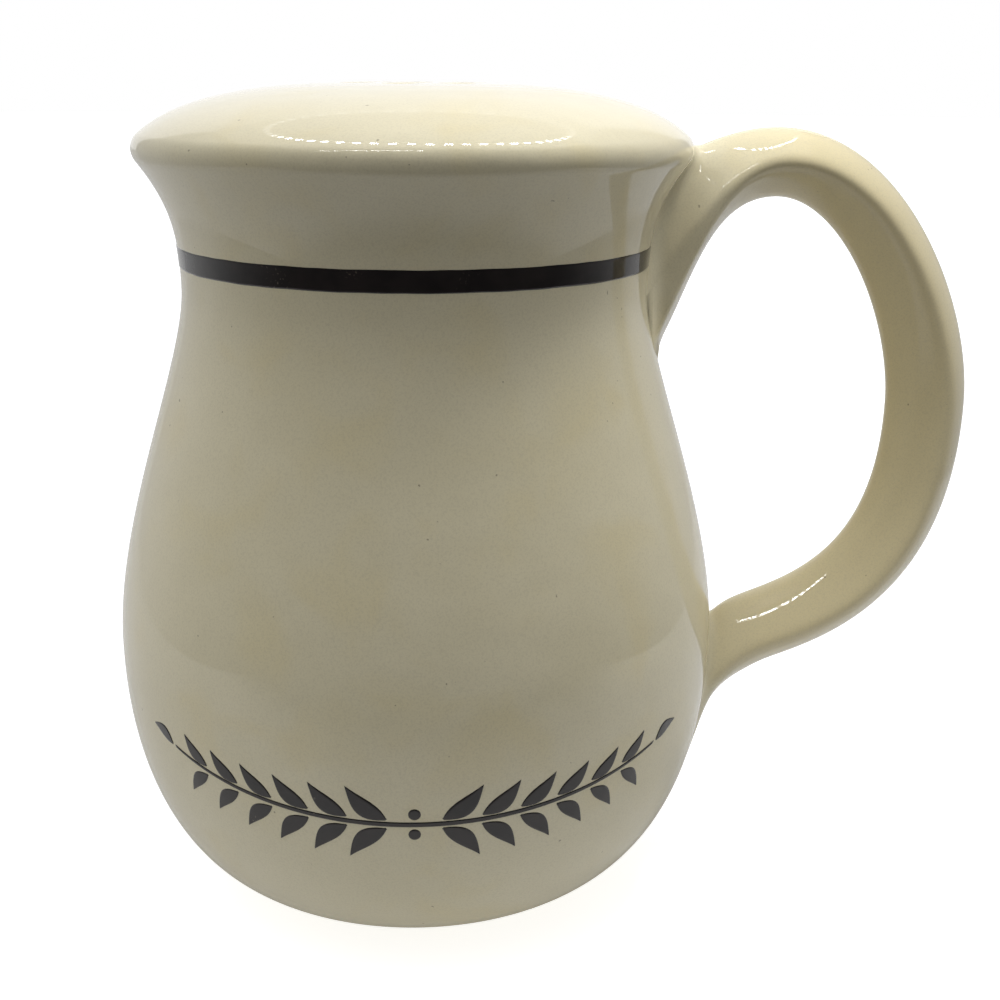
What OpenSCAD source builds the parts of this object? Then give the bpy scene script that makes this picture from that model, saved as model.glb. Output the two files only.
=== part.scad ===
// Parmesan shaker: a pear-shaped glazed pot with a closed, pierced top and a strap handle.
// Millimetres. The pot's axis is Z, the table is z = 0, and the handle stands out along +X.
// The pot is filled through a hole in its base, which a soft stopper closes.

/* [Body] */
// Diameter of the rim at its widest line
rim_d = 88.1; // [82:0.1:96]
// Radius of the rim's rounded edge
rim_round = 3.1; // [2.2:0.1:4]
// Height of the waist above the table
waist_z = 102; // [94:0.5:110]
// Height of the rim's widest line above the waist
neck_h = 21.8; // [18:0.1:28]
// Diameter of the waist
waist_d = 74.7; // [68:0.1:80]
// Height at which the belly is fullest
belly_z = 45; // [38:0.5:52]
// Diameter of the belly where it is fullest
belly_d = 98.9; // [92:0.1:108]
// Thickness of the cast wall
wall = 4.5; // [3:0.1:6]

/* [Foot] */
// Diameter of the foot ring's outside
foot_d = 50.4; // [47:0.2:56]
// Width of the foot ring's flat underside, with its two rounded edges
foot_ring_w = 4; // [3.4:0.1:4.6]
// Rounding of the foot ring's edges
foot_round = 0.8; // [0.4:0.1:1.2]
// Height of the foot ring's upright outside
foot_upright = 1.6; // [1.3:0.1:2.5]
// Height of the base's underside above the table
foot_recess = 6; // [5:0.1:8]
// Thickness of the base
base_t = 4.5; // [3:0.1:6]
// Chamfer round both edges of the filling hole
fill_hole_chamfer = 0.6; // [0.3:0.1:1]

/* [Top] */
// Rise of the domed top above the rim's widest line
dome_rise = 9.9; // [7:0.1:14]
// Thickness of the domed top
top_t = 4.2; // [3:0.1:5.5]
// Diameter of each sprinkling hole
hole_d = 4.5; // [3:0.1:6]
// Number of sprinkling holes on the ring
hole_count = 6; // [3:1:9]
// Diameter of the ring of sprinkling holes
hole_ring_d = 18; // [14:0.5:30]
// Angle of the first hole on the ring
hole_turn = 13; // [0:1:60]

/* [Handle] */
// Reach of the handle's outer face beyond the belly
handle_out = 43.9; // [38:0.1:50]
// Height at which the handle reaches furthest
apex_z = 81.5; // [76:0.1:86]
// Distance of the handle's highest point beyond the rim
crown_out = 14.9; // [12.5:0.1:19]
// Rise of the handle's highest point above the rim's widest line
crown_rise = 3.2; // [1:0.1:5]
// Width of the strap, from side to side
handle_w = 15.5; // [12:0.1:19]
// Thickness of the strap at its highest point
crown_t = 11.1; // [9.5:0.1:13]
// Thickness of the strap at its furthest reach
handle_t = 13.4; // [11:0.1:15]
// Thickness of the strap's lower arm
arm_t = 12.4; // [10:0.1:14]
// Depth of the strap's domed outer face, from its top down to the first edge line
handle_dome = 4.4; // [3.2:0.1:5.2]
// Width of the strap's side, from the first edge line to the second, where the inner dome begins
handle_side = 1.6; // [1:0.1:2.4]
// Length over which each edge line is rounded, to each side
handle_round = 1.5; // [1:0.1:2.4]
// Height of the lower arm's underside where it begins to flare into the belly
arm_z = 35.4; // [33:0.1:40]
// Distance of that point beyond the belly
arm_out = 10.5; // [8:0.1:13]
// Downward slope of the lower arm there, in degrees
arm_slope = 25; // [19:0.2:31]
// Height of the lower root's tip above the table
root_low_z = 19.5; // [15:0.5:24]
// Distance of the upper root's lower end below the waist
root_high_drop = 15.1; // [10:0.1:18]
// Layer of slip between the handle and the pot
slip_gap = 0.08; // [0.06:0.01:0.15]

/* [Band] */
// Distance of the band's upper edge below the rim's widest line
band_drop = 14.7; // [9:0.1:18]
// Width of the band
band_w = 3.4; // [2:0.1:5]
// Distance from the handle's side to each end of the band
band_end_gap = 1.2; // [0.5:0.1:4]

/* [Sprig] */
// Height of the sprig's stem at the middle
sprig_z = 30; // [28:0.5:34]
// Length of each half of the sprig, round the belly
sprig_half = 42; // [34:0.5:48]
// Rise of the stem from the middle to each end
sprig_lift = 6; // [2:0.5:8]
// Angle of the sprig's middle round the pot, where the handle is at 0
sprig_turn = -94; // [-110:1:-80]
// Width of the stem
stem_w = 0.9; // [0.6:0.1:1.3]
// Length of a leaf
leaf_l = 8.2; // [6:0.1:9]
// Width of a leaf
leaf_w = 3.1; // [2.2:0.1:3.4]
// Number of pairs of leaves on each half
leaf_pairs = 6; // [4:1:6]
// Diameter of a berry
berry_d = 2; // [1.4:0.1:2.6]

/* [Stopper] */
// Space round the flange, inside the foot ring
flange_clear = 2.2; // [1.4:0.1:5]
// Distance that the flange laps over the base beyond the filling hole
flange_lap = 3; // [2.2:0.1:3.8]
// Thickness of the flange
flange_t = 2; // [1.6:0.1:2.4]
// Depth of the plug above the base's underside
plug_h = 8; // [7:0.1:11]
// Thickness of the plug's hollow skirt
skirt_t = 2.2; // [1.6:0.1:3]
// Height by which each sealing rib stands out of the skirt
rib_h = 0.7; // [0.4:0.05:0.9]
// Number of sealing ribs
rib_count = 2; // [1:1:2]
// Running clearance between the ribs and the hole
plug_clear = 0.05; // [0.02:0.01:0.1]
// Length of the grip bar under the flange
grip_l = 18; // [12:0.5:24]
// Width of the grip bar
grip_w = 3.6; // [2.4:0.1:5]
// Depth of the grip bar below the flange
grip_h = 2.2; // [1.4:0.1:2.6]

/* [Hidden] */

// Overrun of every cut past the face that it goes through
overrun = 1;
// Thickness of the fired-on colour, and the space under it
print_t = 0.14;
print_gap = 0.06;
// Space between the stopper's flange and the base
seat_gap = 0.1;

rim_z = waist_z + neck_h;
total_h = rim_z + dome_rise;
rim_r = rim_d / 2;
waist_r = waist_d / 2;
belly_r = belly_d / 2;
foot_r = foot_d / 2;
foot_in_r = foot_r - foot_ring_w;
base_top_z = foot_recess + base_t;
// The stopper's flange fits inside the foot ring, and the filling hole is smaller by the lap
flange_r = foot_in_r - flange_clear;
fill_r = flange_r - flange_lap;

// Curve handles, as shares of the stretch's own height or width
low_belly_out_share = 0.67;
low_belly_slope_share = 0.17;
low_belly_end_share = 0.5;
high_belly_shares = [0.35, 0.2];
neck_shares = [0.43, 0.41];
dome_shares = [0.3, 0.25];
// The rim's rounded edge runs between these angles from level
rim_low_turn = -37;
rim_high_turn = 49;

function bezier(p, t) =
    pow(1 - t, 3) * p[0] + 3 * pow(1 - t, 2) * t * p[1] + 3 * (1 - t) * t * t * p[2] + t * t * t * p[3];
function curve(p, steps, first = 0) = [for (i = [first:steps]) bezier(p, i / steps)];
function arc(c, r, a, b, steps) =
    [for (i = [0:steps]) let (turn = a + (b - a) * i / steps) c + r * [cos(turn), sin(turn)]];
function unit(v) = v / norm(v);
function between(a, b, t) = a + (b - a) * t;

// Outline points are [distance from the axis, height], from the foot upwards
foot_edge = concat(
    arc([foot_r - foot_round, foot_round], foot_round, -90, 0, 4),
    [[foot_r, foot_upright]]
);
low_start = foot_edge[5];
low_reach = low_belly_out_share * (belly_r - foot_r);
low_belly = curve([
    low_start,
    low_start + low_reach * [1, low_belly_slope_share],
    [belly_r, belly_z * (1 - low_belly_end_share)],
    [belly_r, belly_z]
], 12, 1);
belly_to_waist = waist_z - belly_z;
high_belly = curve([
    [belly_r, belly_z],
    [belly_r, belly_z + high_belly_shares[0] * belly_to_waist],
    [waist_r, waist_z - high_belly_shares[1] * belly_to_waist],
    [waist_r, waist_z]
], 14, 1);
rim_centre = [rim_r - rim_round, rim_z];
rim_start = rim_centre + rim_round * [cos(rim_low_turn), sin(rim_low_turn)];
waist_to_rim = rim_start[1] - waist_z;
neck = curve([
    [waist_r, waist_z],
    [waist_r, waist_z + neck_shares[0] * waist_to_rim],
    rim_start - neck_shares[1] * waist_to_rim * [-sin(rim_low_turn), cos(rim_low_turn)],
    rim_start
], 12, 1);
rim_lower = arc(rim_centre, rim_round, rim_low_turn, 0, 4);
rim_upper = arc(rim_centre, rim_round, 0, rim_high_turn, 6);
dome_start = rim_upper[6];
dome = curve([
    dome_start,
    dome_start + dome_shares[0] * dome_start[0] * [-sin(rim_high_turn), cos(rim_high_turn)],
    [dome_shares[1] * dome_start[0], total_h],
    [0, total_h]
], 14, 1);

pot_outline = concat(low_belly, high_belly, neck, [for (i = [1:4]) rim_lower[i]]);
whole_outline = concat(foot_edge, pot_outline, [for (i = [1:6]) rim_upper[i]], dome);
radius_table = [for (p = concat(foot_edge, pot_outline)) [p[1], p[0]]];

// Radius of the pot's outside at a height
function pot_r(z) = lookup(z, radius_table);

// The outline moved sideways along its own normal: outwards for a positive distance
function side(p, i) =
    let (a = p[max(i - 1, 0)], b = p[min(i + 1, len(p) - 1)], d = unit(b - a)) [d[1], -d[0]];
function moved(p, distance) = [for (i = [0:len(p) - 1]) p[i] + distance * side(p, i)];

// The pot's inside: the outline moved in by the wall, above the base and below the rim line
inside_outline = [
    for (p = moved(pot_outline, -wall)) if (p[1] > base_top_z + wall / 2 && p[1] < rim_z - rim_round / 2) p
];
inside_top = [rim_r - wall, rim_z + overrun];
inside_floor_r = inside_outline[0][0] - wall / 2;

module body_shell() {
    color("#ded6b6")
    difference() {
        rotate_extrude($fn = 96) polygon(concat(
            [[0, foot_recess], [foot_in_r, foot_recess]],
            arc([foot_in_r + foot_round, foot_round], foot_round, 180, 270, 4),
            foot_edge,
            pot_outline,
            [[0, rim_z]]
        ));
        rotate_extrude($fn = 96) polygon(concat(
            [[0, base_top_z], [inside_floor_r, base_top_z]],
            inside_outline,
            [inside_top - [0, overrun], inside_top, [0, rim_z + overrun]]
        ));
        translate([0, 0, foot_recess - overrun])
            cylinder(r = fill_r, h = base_t + 2 * overrun, $fn = 96);
        filling_hole_chamfer(foot_recess, 1);
        filling_hole_chamfer(base_top_z, -1);
    }
}

// A cone that breaks one edge of the filling hole: way is 1 at the underside, -1 above
module filling_hole_chamfer(z, way) {
    rotate_extrude($fn = 96) polygon([
        [0, z - way * overrun],
        [fill_r + fill_hole_chamfer + overrun, z - way * overrun],
        [fill_r, z + way * fill_hole_chamfer],
        [0, z + way * fill_hole_chamfer]
    ]);
}

// The top's underside keeps the top's thickness, and meets the pot on a flat ring
top_outline = concat(rim_upper, dome);
top_inside = [for (p = moved(top_outline, -top_t)) if (p[1] > rim_z && p[0] > 0) p];

module perforated_top() {
    color("#e2dabb")
    difference() {
        rotate_extrude($fn = 96) polygon(concat(
            top_outline,
            [[0, total_h - top_t]],
            [for (i = [len(top_inside) - 1:-1:0]) top_inside[i]],
            [[top_inside[0][0], rim_z]]
        ));
        sprinkling_hole();
        for (i = [0:hole_count - 1])
            rotate(hole_turn + i * 360 / hole_count) translate([hole_ring_d / 2, 0, 0]) sprinkling_hole();
    }
}

module sprinkling_hole() {
    translate([0, 0, rim_z])
        cylinder(d = hole_d, h = dome_rise + overrun, $fn = 32);
}

// The handle's side view: an outer and an inner edge, each three curves that meet smoothly
reach_x = belly_r + handle_out;
crown = [rim_r + crown_out, rim_z + crown_rise];
apex = [reach_x, apex_z];
arm = [belly_r + arm_out, arm_z];
arm_way = [-cos(arm_slope), -sin(arm_slope)];
arm_up = [arm_way[1], -arm_way[0]];
// Where both edges of the upper root start, inside the neck's wall
root_x = waist_r - wall * 0.85;
root_high_z = waist_z - root_high_drop;
inner_crown = crown - [0, crown_t];
inner_arm = arm + arm_t * arm_up;
loop_shares = [0.6, 0.385];
arm_shares = [0.85, 0.18];
high_root_shares = [0.42, 0.29];
high_fin_shares = [0.418, 0.624];
tip_outer_shares = [0.9, 0.65];
tip_inner_share = 0.64;
// How far the lower tip, and the curve above it, stand off the belly, in shares of the arm's thickness
tip_out_shares = [0.2, 0.4];
// Depth of the outer dome and width of the side, as shares of the thickness, at the neck and at the lower tip
root_side_shares = [0.55, 0.43];
tip_side_shares = [0.25, 0.2];
// How far the outer dome stays level, as a share of the half width, at the neck and round the loop
root_knee_share = 0.5;
loop_knee_share = 0.4;
// How far the inner dome stays level
inner_knee_share = 0.3;

root_steps = 9;
loop_steps = 14;
tip_steps = 8;

high_root_outer = [
    [root_x, rim_z - 2 * rim_round],
    [root_x + high_root_shares[0] * (crown[0] - root_x), rim_z],
    crown - [high_root_shares[1] * (crown[0] - root_x), 0],
    crown
];
high_root_inner = [
    [root_x, root_high_z],
    [root_x + high_fin_shares[0] * (crown[0] - root_x), root_high_z],
    inner_crown - [high_fin_shares[1] * (crown[0] - root_x), 0],
    inner_crown
];
loop_upper = [
    crown,
    crown + [loop_shares[0] * (apex[0] - crown[0]), 0],
    apex + [0, loop_shares[1] * (crown[1] - apex[1])],
    apex
];
loop_lower = [
    apex,
    apex - [0, arm_shares[0] * (apex[1] - arm[1])],
    arm - arm_shares[1] * (apex[0] - arm[0]) * arm_way,
    arm
];
tip_r = pot_r(root_low_z);
tip = [tip_r + tip_out_shares[0] * arm_t, root_low_z];
tip_outer = [
    arm,
    arm + tip_outer_shares[0] * arm_out * arm_way,
    [tip_r + tip_out_shares[1] * arm_t, between(tip[1], arm[1], tip_outer_shares[1])],
    tip
];
tip_inner = [
    inner_arm,
    inner_arm + tip_inner_share * arm_out * arm_way,
    [belly_r - wall, arm[1]],
    [tip_r - wall, tip[1] + wall]
];

// A point on a curve, moved in square to the curve by the strap's thickness
function offset_in(p, t, thickness) =
    let (way = unit(bezier(p, min(t + 0.01, 1)) - bezier(p, max(t - 0.01, 0))))
    bezier(p, t) + thickness * [way[1], -way[0]];

function eased(t) = t * t * (3 - 2 * t);

// The strap's side in shares of a thickness
function side_shares(thickness) = [handle_dome, handle_side] / thickness;

// Steps across the strap, from the neck to the belly: [outer point, inner point, side shares, knee share]
high_root_steps = [for (i = [0:root_steps - 1])
    let (t = i / root_steps, away = (1 - t) * (1 - t)) [
        bezier(high_root_outer, t),
        bezier(high_root_inner, t),
        between(side_shares(crown_t), root_side_shares, away),
        between(loop_knee_share, root_knee_share, away)
    ]];
upper_loop_steps = [for (i = [0:loop_steps - 1])
    let (t = i / loop_steps, thickness = between(crown_t, handle_t, eased(t)))
    [bezier(loop_upper, t), offset_in(loop_upper, t, thickness), side_shares(thickness), loop_knee_share]];
lower_loop_steps = [for (i = [0:loop_steps - 1])
    let (t = i / loop_steps, thickness = between(handle_t, arm_t, eased(t)))
    [bezier(loop_lower, t), offset_in(loop_lower, t, thickness), side_shares(thickness), loop_knee_share]];
low_root_steps = [for (i = [0:tip_steps])
    let (t = i / tip_steps, shares = between(side_shares(arm_t), tip_side_shares, t))
    [bezier(tip_outer, t), bezier(tip_inner, t), shares, loop_knee_share]];
handle_steps = concat(high_root_steps, upper_loop_steps, lower_loop_steps, low_root_steps);

// A bend that starts at one point, is pulled to the next and ends at the last
function pulled(a, b, c, t) = (1 - t) * (1 - t) * a + 2 * (1 - t) * t * b + t * t * c;
// A corner rounded over a length to each side, and over no more than a share of each side
corner_steps = 4;
round_share = 0.48;
function rounded(before, corner, after, size) =
    let (
        start = corner + min(size, round_share * norm(before - corner)) * unit(before - corner),
        end = corner + min(size, round_share * norm(after - corner)) * unit(after - corner)
    )
    [for (i = [0:corner_steps]) pulled(start, corner, end, i / corner_steps)];

// One ring of the strap: outer dome, first edge line, side, second edge line, inner dome
dome_steps = 4;
// The flat at each dome's middle, as a share of a step
middle_share = 0.3;
function strap_ring(step) =
    let (
        middle = (step[0] + step[1]) / 2,
        out = unit(step[0] - step[1]),
        half_t = norm(step[0] - step[1]) / 2,
        half_w = handle_w / 2,
        knee = [half_t, half_w * step[3]],
        edge = [half_t * (1 - 2 * step[2][0]), half_w],
        edge_2 = [half_t * (1 - 2 * (step[2][0] + step[2][1])), half_w],
        knee_2 = [-half_t, half_w * inner_knee_share],
        first = rounded(knee, edge, edge_2, handle_round),
        second = rounded(edge, edge_2, knee_2, handle_round),
        half = concat(
            [for (i = [0:dome_steps - 1])
                pulled([half_t, 0], knee, first[0], max(i, middle_share) / dome_steps)],
            first,
            second,
            [for (i = [dome_steps - 1:-1:0])
                pulled([-half_t, 0], knee_2, second[corner_steps], max(i, middle_share) / dome_steps)]
        ),
        // Rounding draws the edge lines in a little, so the ring is widened back to the strap's width
        widen = half_w / max([for (p = half) p[1]]),
        last = len(half) - 1
    )
    [for (i = [0:2 * last + 1])
        let (p = i > last ? half[2 * last + 1 - i] : half[i], b = (i > last ? -1 : 1) * widen * p[1])
        [middle[0] + p[0] * out[0], b, middle[1] + p[0] * out[1]]];

// A closed solid through rings of equal, even count: each end is zipped shut across its ring
module lofted(rings) {
    n = len(rings[0]);
    last = (len(rings) - 1) * n;
    polyhedron(
        points = [for (ring = rings) for (p = ring) p],
        faces = concat(
            [for (i = [0:n / 2 - 2]) each [[i, n - 2 - i, i + 1], [i, n - 1 - i, n - 2 - i]]],
            [for (j = [0:n:last - n]) for (i = [0:n - 1])
                let (a = j + i, b = j + (i + 1) % n) each [[a, b + n, a + n], [a, b, b + n]]],
            [for (i = [0:n / 2 - 2]) each [
                [last + i, last + i + 1, last + n - 2 - i],
                [last + i, last + n - 2 - i, last + n - 1 - i]
            ]]
        )
    );
}

module handle() {
    color("#ddd3b0")
    difference() {
        lofted([for (step = handle_steps) strap_ring(step)]);
        rotate_extrude($fn = 128) polygon(concat(
            [[0, 0]],
            [for (p = moved(whole_outline, slip_gap)) if (p[0] > 0) p],
            [[0, total_h + slip_gap]]
        ));
    }
}

// The band follows the waist and stops short of the handle on both sides
band_steps = 6;
band_z = rim_z - band_drop - band_w;
band_heights = [for (i = [0:band_steps]) band_z + band_w * i / band_steps];
band_half_turn = asin((handle_w / 2 + band_end_gap) / pot_r(band_z));

module neck_band() {
    color("#2b2622")
    rotate(band_half_turn)
        rotate_extrude(angle = 360 - 2 * band_half_turn, $fn = 96) polygon(concat(
            [for (z = band_heights) [pot_r(z) + print_gap, z]],
            [for (i = [band_steps:-1:0]) [pot_r(band_heights[i]) + print_gap + print_t, band_heights[i]]]
        ));
}

// A point of the print: place is [along the belly, height], out is the distance off the print's back
function on_belly(place, out) =
    let (turn = sprig_turn + place[0] / belly_r * 180 / PI, r = pot_r(place[1]) + print_gap + out)
    [r * cos(turn), r * sin(turn), place[1]];
function stem_up(along) = sprig_z + sprig_lift * pow(along / sprig_half, 2);

// A flat ribbon on the belly: rows of [middle, half of the width across], each [along, up]
module ribbon(rows) {
    lofted([for (row = rows)
        let (left = row[0] + row[1], right = row[0] - row[1])
        [on_belly(left, 0), on_belly(right, 0), on_belly(right, print_t), on_belly(left, print_t)]]);
}

stem_steps = 32;
module stem() {
    ribbon([for (i = [0:stem_steps])
        let (
            along = sprig_half * (2 * i / stem_steps - 1),
            taper = 1 - 0.6 * pow(along / sprig_half, 2)
        )
        [[along, stem_up(along)], [0, stem_w / 2 * taper]]]);
}

leaf_steps = 6;
leaf_gap = stem_w / 3;
// A pointed leaf: start is its stalk end, turn is its direction, size is its share of the full length
module leaf(start, turn, size) {
    way = [cos(turn), sin(turn)];
    across = [-way[1], way[0]];
    ribbon([for (i = [0:leaf_steps])
        let (
            t = i / leaf_steps,
            width_share = 0.06 + 0.94 * pow(sin(180 * pow(t, 0.8)), 1.1)
        )
        [start + leaf_l * size * t * way, leaf_w / 2 * size * width_share * across]]);
}

berry_steps = 8;
module berry(along, up) {
    ribbon([for (i = [0:berry_steps])
        let (
            a = 180 * i / berry_steps,
            width_share = max(sin(a), 0.12)
        )
        [[along - berry_d / 2 * cos(a), up], [0, berry_d / 2 * width_share]]]);
}

leaf_turn = 42;
module belly_sprig() {
    color("#2b2622") {
        stem();
        for (half = [-1, 1]) {
            for (i = [0:leaf_pairs - 1]) for (over = [-1, 1]) {
                along = sprig_half * (0.1 + 0.86 * i / leaf_pairs);
                size = 1 - 0.3 * i / leaf_pairs;
                leaf(
                    [half * along, stem_up(along) + over * (stem_w / 2 + leaf_gap)],
                    90 - half * (90 - over * leaf_turn),
                    size
                );
            }
            leaf([half * (sprig_half + leaf_gap), stem_up(sprig_half)], 90 - half * 70, 0.7);
        }
        for (over = [-1, 1])
            berry(0, sprig_z + over * (stem_w / 2 + leaf_gap + berry_d / 2));
    }
}

// The stopper's sizes follow the filling hole and the base's underside
rib_r = fill_r - plug_clear;
skirt_r = rib_r - rib_h;
flange_low_z = foot_recess - flange_t;
flange_top_z = foot_recess - seat_gap;
plug_top_z = foot_recess + plug_h;
plug_floor_z = flange_low_z + skirt_t;
flange_round = flange_t / 4;
plug_taper = rib_h;
rib_pitch = base_t / (rib_count + 1);
rib_half_share = 7 / 15;

module filling_stopper() {
    color("#cfcabd") {
        rotate_extrude($fn = 96) polygon(concat(
            [[0, flange_low_z]],
            arc([flange_r - flange_round, flange_low_z + flange_round], flange_round, -90, 0, 3),
            arc([flange_r - flange_round, flange_top_z - flange_round], flange_round, 0, 90, 3),
            [[skirt_r, flange_top_z]],
            [for (i = [1:rib_count]) each sealing_rib(foot_recess + i * rib_pitch)],
            [
                [skirt_r, plug_top_z - skirt_t],
                [skirt_r - plug_taper, plug_top_z],
                [skirt_r - skirt_t, plug_top_z],
                [skirt_r - skirt_t, plug_floor_z],
                [0, plug_floor_z]
            ]
        ));
        grip_bar();
    }
}

// Half of an ellipse that stands out of the skirt, centred at height z
function sealing_rib(z) =
    [for (turn = [-90:30:90]) [skirt_r + rib_h * cos(turn), z + rib_half_share * rib_pitch * sin(turn)]];

module grip_bar() {
    translate([0, 0, flange_low_z - grip_h]) {
        translate([-(grip_l - grip_w) / 2, -grip_w / 2, 0])
            cube([grip_l - grip_w, grip_w, grip_h + flange_t / 2]);
        for (end = [-1, 1])
            translate([end * (grip_l - grip_w) / 2, 0, 0])
                cylinder(d = grip_w, h = grip_h + flange_t / 2, $fn = 32);
    }
}

body_shell();
perforated_top();
handle();
neck_band();
belly_sprig();
filling_stopper();
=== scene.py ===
import math

import bmesh
import bpy
import numpy as np
from mathutils import Matrix


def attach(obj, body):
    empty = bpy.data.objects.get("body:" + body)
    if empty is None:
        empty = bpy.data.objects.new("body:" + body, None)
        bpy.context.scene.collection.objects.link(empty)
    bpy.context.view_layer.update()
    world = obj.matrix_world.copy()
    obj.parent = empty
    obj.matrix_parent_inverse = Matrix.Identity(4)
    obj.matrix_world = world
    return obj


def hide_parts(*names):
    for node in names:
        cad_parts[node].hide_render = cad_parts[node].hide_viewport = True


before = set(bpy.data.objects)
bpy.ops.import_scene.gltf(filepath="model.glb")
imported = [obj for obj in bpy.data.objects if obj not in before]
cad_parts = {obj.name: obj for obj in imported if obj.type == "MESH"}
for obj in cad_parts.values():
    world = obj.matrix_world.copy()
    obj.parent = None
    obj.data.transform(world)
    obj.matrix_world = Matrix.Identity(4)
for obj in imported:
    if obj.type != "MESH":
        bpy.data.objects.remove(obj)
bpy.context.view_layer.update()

# The pot
BELLY_Z = 0.045
BELLY_R = 0.04945
WAIST_Z = 0.102
WAIST_R = 0.03735
RIM_Z = 0.1238
RIM_R = 0.04405
RIM_ROUND = 0.0031
RIM_LOW_TURN = -37
RIM_HIGH_TURN = 49
TOTAL_H = 0.1337
WALL = 0.0045
BODY_STEP = 0.0011

# Pulls of the outline's curves, as shares of the stretch's own height or width
LOW_BELLY_OUT = 0.67
LOW_BELLY_SLOPE = 0.17
LOW_BELLY_END = 0.5
HIGH_BELLY_PULLS = (0.35, 0.2)
NECK_PULLS = (0.43, 0.41)
DOME_PULLS = (0.3, 0.25)

# The foot and the base
FOOT_R = 0.0252
FOOT_IN_R = 0.0212
FOOT_UPRIGHT = 0.0016
BASE_LOW_Z = 0.006
BASE_TOP_Z = 0.0105
FILL_R = 0.016
FILL_EDGE_ROUND = 0.0006
BASE_ROUND = 0.0012
FOOT_EDGE_ROUND = 0.0009
FLOOR_ROUND = 0.0018

# The pierced top
TOP_T = 0.0042
HOLE_R = 0.00225
HOLE_COUNT = 6
HOLE_RING_R = 0.009
HOLE_TURN = 13
PIERCED_R = 0.0135
MIDDLE_R = 0.0045
HOLE_LIP = 0.0009
HOLE_UNDER_LIP = 0.0004

# The handle
CROWN_X = RIM_R + 0.0149
CROWN_Z = RIM_Z + 0.0032
APEX_X = BELLY_R + 0.0439
APEX_Z = 0.0815
ARM_X = BELLY_R + 0.0105
ARM_Z = 0.0354
ARM_SLOPE = 25
HANDLE_W = 0.0155
CROWN_T = 0.0111
HANDLE_T = 0.0134
ARM_T = 0.0124
HANDLE_DOME = 0.0044
HANDLE_SIDE = 0.0016
HANDLE_ROUND = 0.0015
ROOT_HIGH_Z = 0.0869
ROOT_LOW_Z = 0.0195
ROOT_SINK = 0.85
TIP_NARROWING = 0.12
TIP_ROWS = 36
NOSE_L = 0.0016
FILLET_R = 0.0027
FILLET_DEEPEST = 0.004
BURIED = 0.0032
BURIED_FADE = 0.0022

# Pulls of the strap's curves, as shares of the stretch's own height or width
LOOP_PULLS = (0.6, 0.385)
ARM_PULLS = (0.85, 0.18)
HIGH_ROOT_PULLS = (0.42, 0.29)
HIGH_FIN_PULLS = (0.418, 0.624)
TIP_OUTER_PULLS = (0.9, 0.65)
TIP_INNER_PULL = 0.64
TIP_OUT = 0.2

# The strap's section: outer dome and side over the thickness, and each dome's level part over the half width
ROOT_SHARES = (0.55, 0.43)
TIP_SHARES = (0.25, 0.2)
ROOT_KNEE = 0.5
LOOP_KNEE = 0.4
INNER_KNEE = 0.3

# The band and the sprig, fired-on colour on the glaze
BAND_LOW_Z = 0.1057
BAND_W = 0.0034
BAND_END_GAP = 0.0012
BAND_WANDER = 0.00002
BAND_RIPPLE = 0.000012
BAND_CORNER = 0.0003
BAND_END_EDGE = 0.0016
PRINT_RISE = 0.0001
PRINT_SINK = 0.00004
PRINT_BACK = -2.5 * PRINT_SINK
SPRIG_Z = 0.03
SPRIG_HALF = 0.042
SPRIG_LIFT = 0.006
SPRIG_TURN = -94
STEM_W = 0.0009
LEAF_L = 0.0082
LEAF_W = 0.0031
LEAF_PAIRS = 6
STALK_W = 0.0004
STALK_SHARE = 0.07
LEAF_TURN = 42
BERRY_R = 0.001

# The stopper
FLANGE_R = 0.019
FLANGE_LOW_Z = 0.004
FLANGE_TOP_Z = 0.0059
SKIRT_R = 0.01525
SKIRT_IN_R = 0.01305
RIB_H = 0.0007
RIB_PITCH = 0.0015
PLUG_FLOOR_Z = 0.0062
PLUG_TOP_Z = 0.014
GRIP_L = 0.018
GRIP_W = 0.0036
GRIP_LOW_Z = 0.0018
GRIP_ROUND = 0.0006
GRIP_SINK = 0.0008
FLANGE_ROUND = 0.0006
SKIRT_LEAD = 0.0022
STOPPER_STEP = 0.0008

# The glaze, the print and the vinyl, as colours in linear light, with the waves and the grain of the glaze
CREAM_DEEP = (0.745, 0.68, 0.475, 1)
CREAM_PALE = (0.785, 0.72, 0.515, 1)
CREAM_WARM = (0.76, 0.665, 0.4, 1)
HANDLE_WARM = (0.76, 0.665, 0.415, 1)
GRAIN_BROWN = (0.46, 0.41, 0.29, 1)
IRON_BROWN = (0.22, 0.17, 0.1, 1)
CLAY_DEEP = (0.63, 0.56, 0.43, 1)
CLAY_PALE = (0.74, 0.68, 0.55, 1)
PRINT_DEEP = (0.015, 0.012, 0.012, 1)
PRINT_PALE = (0.023, 0.018, 0.017, 1)
PRINT_WORN = (0.22, 0.19, 0.14, 1)
VINYL_DEEP = (0.6, 0.57, 0.48, 1)
VINYL_PALE = (0.66, 0.63, 0.55, 1)
RIPPLE_H = 0.00022
GLAZE_PEEL_H = 0.000012
CLAY_GRAIN_H = 0.00005
PRINT_PEEL_H = 0.00002
VINYL_GRAIN_H = 0.00003

# The photograph's camera
CAMERA_PLACE = (-0.0136, -0.2595, 0.1374)
CAMERA_HEADING = 6.05
CAMERA_PITCH = 15.43
CAMERA_ROLL = 0.37
CAMERA_LENS = 57.6

# The studio: a light tent open in front, a ring and a row of lamps that only reflections see, and a key lamp
FRONT_Y = -0.155
TENT_BACK_Y = 0.36
TENT_SIDE = 0.26
TENT_H = 0.49

# Each sheet's strength in front and behind, and the two places along Y between which it changes
# The front sheet's near-black glow is painted shade for reflections, standing in for the unlit room in front
TENT_FRONT_GLOW = (0.02, 0.02)
TENT_SIDE_GLOW = (0.02, 0.5, FRONT_Y, 0.16)
TENT_TOP_GLOW = (0.6, 0.8, FRONT_Y, 0.1)

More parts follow.
